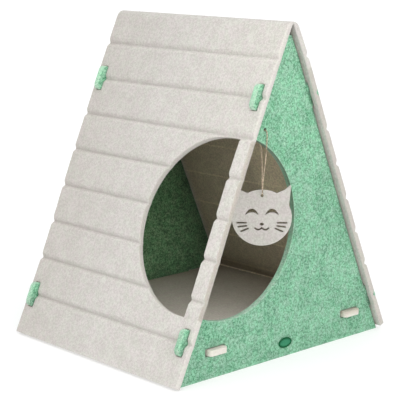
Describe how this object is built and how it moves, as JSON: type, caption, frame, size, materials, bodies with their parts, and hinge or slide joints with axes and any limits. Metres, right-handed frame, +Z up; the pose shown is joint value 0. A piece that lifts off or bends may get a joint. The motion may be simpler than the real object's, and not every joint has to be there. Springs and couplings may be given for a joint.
{
  "type": "felt cat cave",
  "caption": "Tent-shaped pet house of stiff felt: a folded plank-pattern roof on two mint gables, a raised floor, a round corner opening and a hanging cat-head pendant.",
  "frame": {"origin": "on the ground under the middle of the house", "axes": "+X across the house, to the right seen from the front; -Y out of the front gable; +Z up to the ridge"},
  "size_m": [0.4498, 0.3917, 0.4976],
  "materials": {
    "off_white_felt": "stiff pressed felt, off-white with faint coloured fibres",
    "mint_felt": "stiff pressed felt, mint green, mottled",
    "floor_felt": "stiff pressed felt, off-white",
    "pendant_felt": "thin pressed felt, off-white",
    "jute": "twisted natural twine",
    "badge_green": "soft moulded patch, dark green, plain"
  },
  "bodies": {
    "root": {"roof": "off_white_felt", "front_gable": "mint_felt", "back_gable": "mint_felt", "floor_panel": "floor_felt", "pendant": "pendant_felt", "twine": "jute", "badge": "badge_green"}
  },
  "joints": []
}
